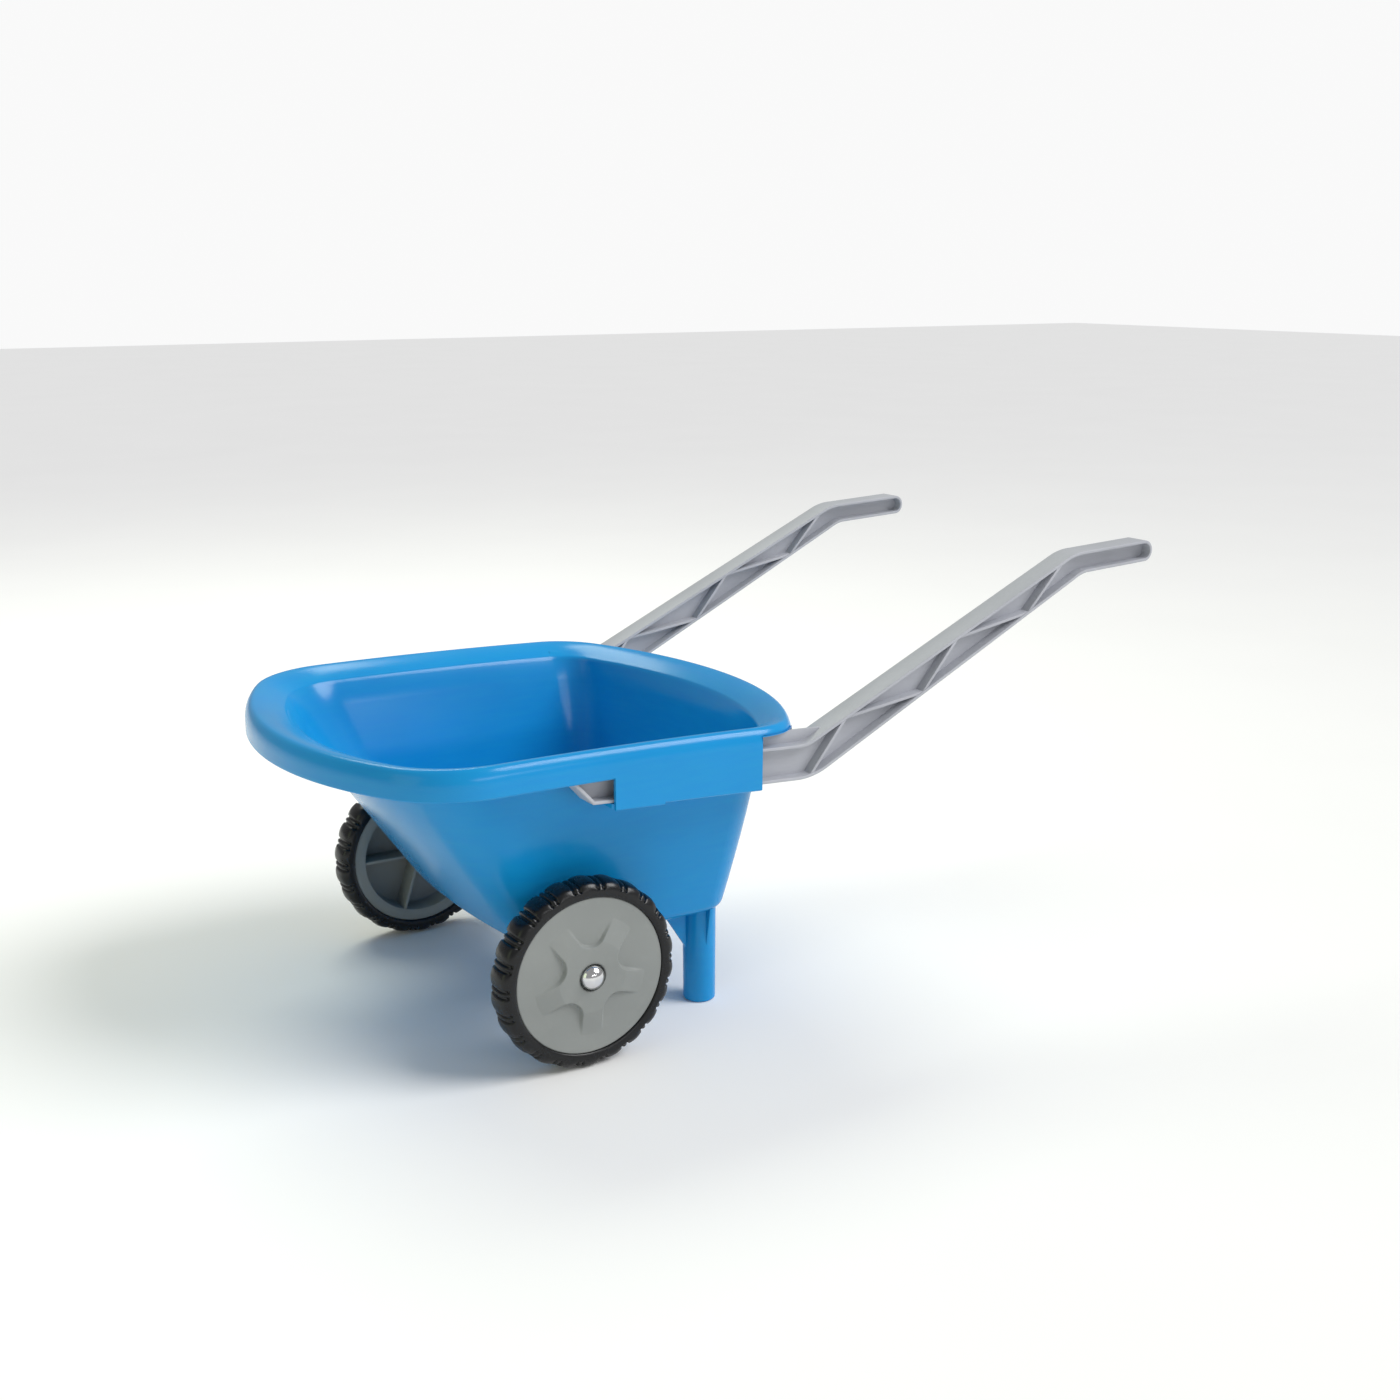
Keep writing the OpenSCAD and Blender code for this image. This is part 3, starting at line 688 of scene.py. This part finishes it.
# Radii and heights from the bore out over the middle, the face with its star, and the edge
# and the hollow back, home to the bore.
hub_segments = 336
face_start, face_end, face_steps = 0.012, hub_r - 0.0010, 96
bore_path = [(0.0041, -0.0006), (0.0046, -0.0004), (0.0100, -0.0004), (0.0107, -0.0002),
             (0.0110, 0.0003 + star_t)]
face_path = [(0.0112, -0.0003), (0.0116, -0.0001)]
face_path += [(face_start + (face_end - face_start) * k / face_steps, 0.0)
              for k in range(face_steps + 1)]
edge_path = [(hub_r - 0.0006, -0.0001), (hub_r - 0.0002, -0.0004), (hub_r, -0.0010),
             (hub_r, 0.0010 - hub_w), (hub_r - 0.0003, 0.0003 - hub_w),
             (hub_r - 0.0010, -hub_w), (0.0527, -hub_w), (0.0522, 0.0002 - hub_w),
             (0.0520, 0.0007 - hub_w), (0.0512, -0.0050), (0.0506, -0.0038),
             (0.0494, -0.0030), (0.0130, -0.0030), (0.0118, -0.0036), (0.0113, -0.0048),
             (0.0110, 0.0007 - hub_w), (0.0107, 0.0002 - hub_w), (0.0102, -hub_w),
             (0.0046, -hub_w), (0.0041, 0.0005 - hub_w)]
back_ribs = 5
rib_near, rib_far, rib_half = 0.0100, 0.0530, 0.0013


def hub_ring(r, height, star=0.0):
    """Places round the hub, raised by this share of the star."""
    places = []
    for k in range(hub_segments):
        turn = math.tau * k / hub_segments
        rise = height + star * star_height(r, turn)
        places.append(Vector((r * math.cos(turn), r * math.sin(turn), hub_out + rise)))
    return places


hub_plastic, w, shader = surface("grey_hub_plastic", IOR=1.46)
coords = object_coords(w)
cloud = noise(w, coords, 14, 2)
grain = noise(w, coords, 1500, 2)
rubbed = noise(w, coords, 90, 5, 0.65)
base = blend_colours(w, spread(w, cloud, 0.35, 0.65), (0.235, 0.250, 0.243, 1),
                     (0.262, 0.277, 0.269, 1))
grey = blend_colours(w, spread(w, rubbed, 0.5, 0.8, 0, 0.25), base, (0.31, 0.325, 0.315, 1))
rough = spread(w, rubbed, 0.3, 0.7, 0.42, 0.54)
join_up(w, shader, Base_Color=grey, Roughness=rough,
        Normal=bump(w, grain + 0.5 * rubbed, 0.14, 0.00015))

for side, name in ((-1, "left"), (1, "right")):
    hub = bmesh.new()
    ring = start = first_ring(hub, hub_ring(*bore_path[0]))
    for r, height in bore_path[1:]:
        ring = next_ring(hub, ring, hub_ring(r, height))
    for r, height in face_path:
        ring = next_ring(hub, ring, hub_ring(r, height, 1.0))
    for r, height in edge_path:
        ring = next_ring(hub, ring, hub_ring(r, height))
    loops = [hub.edges.get((a, b)) for r in (ring, start) for a, b in zip(r, r[1:] + r[:1])]
    bmesh.ops.bridge_loops(hub, edges=loops)
    bmesh.ops.recalc_face_normals(hub, faces=hub.faces)
    for k in range(back_ribs):
        block(hub, (rib_near, -rib_half, hub_in + 0.0010), (rib_far, rib_half, hub_out - 0.0025),
              Matrix.Rotation(math.radians(180 + 360 * k / back_ribs), 4, "Z"))
    # The sides mirror each other, and one arm of each star points down.
    flip = Matrix.Scale(side, 4, (0, 1, 0))
    upright = Matrix.Translation((axle_x, 0, axle_z)) @ Matrix.Rotation(math.radians(-90), 4, "X")
    bmesh.ops.transform(hub, matrix=flip @ upright, verts=hub.verts)
    if side < 0:
        bmesh.ops.reverse_faces(hub, faces=hub.faces)
    finish_piece(hub, f"hub_{name}_moulding", hub_plastic, f"wheel_{name}",
                 [f"hub_{name}"], smooth=38)

# ---------------------------------------------------------------------------------------
# The tyres. Hard black plastic bands stretched over the hubs, round in section, with broad
# tread blocks and a narrow rib between each two, which wrap over the shoulders.
tyre_low, tyre_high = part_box("tyre_right")
tyre_middle = (tyre_low.y + tyre_high.y) / 2
block_count = 22
groove = 0.0028
# On the shoulders the grooves also cut in from the side, by this share of their depth.
shoulder_y, side_cut = 0.0110, 0.35
# Half the section from the seat to the middle of the tread: radius, distance from the middle,
# and how much of the groove's depth is cut there.
section = [(0.06205, 0.0118, 0), (0.0624, 0.0123, 0), (0.0640, 0.0128, 0), (0.0655, 0.0130, 0),
           (0.0668, 0.0130, 0), (0.0680, 0.0129, 0.1), (0.0690, 0.0127, 0.4),
           (0.0700, 0.0124, 0.8), (0.0711, 0.0118, 1.0), (0.0722, 0.0110, 1.0),
           (0.0732, 0.0098, 1.0), (0.0739, 0.0083, 1.0), (0.0744, 0.0065, 1.0),
           (0.0748, 0.0043, 1.0), (0.0750, 0.0018, 1.0)]
section = section + [(r, -y, cut) for r, y, cut in reversed(section)]
# Steps round one block, as shares of its pitch, with the share of the groove cut at each.
tread_steps = [(0.00, 0.42), (0.03, 0.30), (0.08, 0.20), (0.15, 0.10), (0.23, 0.03), (0.31, 0.0),
               (0.39, 0.03), (0.47, 0.10), (0.54, 0.20), (0.59, 0.30), (0.62, 0.42),
               (0.64, 0.75), (0.66, 0.97), (0.69, 1.0), (0.715, 0.97), (0.735, 0.75),
               (0.76, 0.50), (0.79, 0.42), (0.83, 0.42), (0.86, 0.50), (0.885, 0.75),
               (0.905, 0.97), (0.93, 1.0), (0.96, 0.97), (0.98, 0.75)]
# The middle of a block is at the bottom of the wheel.
block_middle = 0.31
turns = [(k + step - block_middle) / block_count for k in range(block_count)
         for step, cut in tread_steps]
cuts = [cut for step, cut in tread_steps] * block_count


def tyre_ring(side, r, y, share):
    """Places round the tyre, with this share of the grooves cut."""
    places = []
    for turn, cut in zip(turns, cuts):
        angle = math.tau * turn - math.pi / 2
        reach = r - groove * cut * share
        inward = side_cut * groove * cut * share * (1 if abs(y) > shoulder_y else 0)
        places.append(Vector((axle_x + reach * math.cos(angle),
                              side * (tyre_middle + y - math.copysign(inward, y)),
                              axle_z + reach * math.sin(angle))))
    return places


tyre_plastic, w, shader = surface("black_tyre_plastic", IOR=1.5, Specular_IOR_Level=0.42)
coords = object_coords(w)
cloud = noise(w, coords, 30, 3)
grain = noise(w, coords, 700, 3)
dust = noise(w, coords, 150, 5, 0.65)
black = blend_colours(w, spread(w, cloud, 0.35, 0.65), (0.0018, 0.0022, 0.0032, 1),
                      (0.0032, 0.0037, 0.0050, 1))
worn = blend_colours(w, spread(w, dust, 0.52, 0.85, 0, 0.4), black, (0.009, 0.0095, 0.011, 1))
rough = spread(w, dust, 0.3, 0.75, 0.24, 0.38)
join_up(w, shader, Base_Color=worn, Roughness=rough,
        Normal=bump(w, grain + 1.2 * cloud, 0.16, 0.0002))

for side, name in ((-1, "left"), (1, "right")):
    tyre = bmesh.new()
    ring = start = first_ring(tyre, tyre_ring(side, *section[0]))
    for point in section[1:]:
        ring = next_ring(tyre, ring, tyre_ring(side, *point))
    loops = [tyre.edges.get((a, b)) for r in (ring, start) for a, b in zip(r, r[1:] + r[:1])]
    bmesh.ops.bridge_loops(tyre, edges=loops)
    bmesh.ops.recalc_face_normals(tyre, faces=tyre.faces)
    finish_piece(tyre, f"tyre_{name}_tread", tyre_plastic, f"wheel_{name}",
                 [f"tyre_{name}"], smooth=40)

# ---------------------------------------------------------------------------------------
# The axle caps. Chromed steel domes snapped over the push nuts in a round recess, so that
# the ends of the axle are smooth.
cap_low, cap_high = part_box("axle_cap_right")
cap_r = 0.010
cap_skirt = 0.0014
cap_rise = cap_high.y - cap_low.y - cap_skirt
cap_t = 0.0008
# The profile goes down the hollow inside, round the skirt's edge and back up over the dome.
dome = [(cap_r * math.cos(math.radians(t)), cap_skirt + cap_rise * math.sin(math.radians(t)))
        for t in range(0, 88, 6)]
hollow = [(r * (1 - cap_t / cap_r), z - cap_t) for r, z in reversed(dome)]
cap_profile = [(0, cap_skirt + cap_rise - cap_t)] + hollow[1:] + [(cap_r - cap_t, 0.0002)]
cap_profile += [(cap_r - 0.0005, 0), (cap_r - 0.0002, 0), (cap_r, 0.0003)] + dome
cap_profile += [(0, cap_skirt + cap_rise)]

cap_chrome, w, shader = surface("chrome", Metallic=1.0)
coords = object_coords(w)
swirl = noise(w, coords, 500, 5, 0.7)
haze = noise(w, coords, 120, 3)
tone = blend_colours(w, spread(w, haze, 0.4, 0.7), (0.78, 0.78, 0.79, 1), (0.66, 0.66, 0.68, 1))
join_up(w, shader, Base_Color=tone, Roughness=spread(w, swirl, 0.4, 0.8, 0.10, 0.22),
        Normal=bump(w, swirl, 0.05, 0.0001))

for side, name in ((-1, "left"), (1, "right")):
    cap = bmesh.new()
    lathe(cap, cap_profile, Matrix.Translation((axle_x, side * cap_low.y, axle_z))
          @ Matrix.Rotation(math.radians(-90 * side), 4, "X"), steps=72)
    finish_piece(cap, f"axle_cap_{name}_dome", cap_chrome, "barrow",
                 [f"axle_cap_{name}"], smooth=60)

# ---------------------------------------------------------------------------------------
# The studio: a pale floor under a pale backdrop, a soft key lamp high on the near side, a low
# strip along that side, a weak yellow-green fill at the front, a broad lamp high on the far
# side, and the camera.
ground = bmesh.new()
bmesh.ops.create_grid(ground, x_segments=4, y_segments=4, size=12)
bmesh.ops.translate(ground, vec=(0, 0, -0.0002), verts=ground.verts)
ground_data = bpy.data.meshes.new("studio_floor")
ground.to_mesh(ground_data)
ground.free()
floor = bpy.data.objects.new("studio_floor", ground_data)
bpy.context.collection.objects.link(floor)
floor_paint, w, shader = surface("pale_floor", Roughness=0.9)
soft = noise(w, object_coords(w), 3, 2)
join_up(w, shader, Base_Color=blend_colours(w, soft, (0.93, 0.93, 0.93, 1), (0.96, 0.96, 0.96, 1)))
ground_data.materials.append(floor_paint)

sky = bpy.data.worlds.new("studio")
sky.use_nodes = True
w = Wire(sky.node_tree)
backdrop = sky.node_tree.nodes["Background"]
backdrop.inputs["Color"].default_value = (1, 1, 1, 1)
seen = w.node("ShaderNodeLightPath", out="Is Camera Ray")
# The backdrop looks nearly white but lights the part more weakly.
light_given, light_seen = 0.36, 0.95
strength = spread(w, seen, 0, 1, light_given, light_seen)
w.tree.links.new(strength.socket, backdrop.inputs["Strength"])
bpy.context.scene.world = sky


def lamp(name, kind, place, target, power, colour, **settings):
    """A light at a place, aimed at a target."""
    data = bpy.data.lights.new(name, kind)
    data.energy = power
    data.color = colour
    for setting, value in settings.items():
        setattr(data, setting, value)
    light = bpy.data.objects.new(name, data)
    bpy.context.collection.objects.link(light)
    light.location = place
    aim_at = (Vector(target) - Vector(place)).to_track_quat("-Z", "Y")
    light.rotation_euler = aim_at.to_euler()


middle = (0, 0, 0.15)
lamp("key", "SUN", (1.9, -1.5, 2.3), middle, 2.2, (1.0, 1.0, 1.0), angle=math.radians(34))
lamp("side_strip", "AREA", (0.15, -2.3, 0.74), middle, 4.5, (1.0, 1.0, 1.0),
     shape="RECTANGLE", size=1.2, size_y=0.09)
lamp("front_fill", "AREA", (-2.0, -0.5, 0.7), middle, 3, (0.84, 1.0, 0.60),
     shape="RECTANGLE", size=1.0, size_y=1.2)
lamp("back_top", "AREA", (-0.2, 1.3, 2.0), middle, 21, (0.95, 1.0, 0.86),
     shape="RECTANGLE", size=1.6, size_y=0.8)

# Plain display colours, so that white stays white.
bpy.context.scene.view_settings.view_transform = "Standard"

lens = bpy.data.cameras.new("camera")
lens.lens = 44.4
lens.sensor_width = 36
camera = bpy.data.objects.new("camera", lens)
bpy.context.collection.objects.link(camera)
camera.location = (axle_x - 0.56914, -1.24270, 0.59544)
camera.rotation_euler = (math.radians(90 - 14.219), 0, math.radians(-31.92))
bpy.context.scene.camera = camera
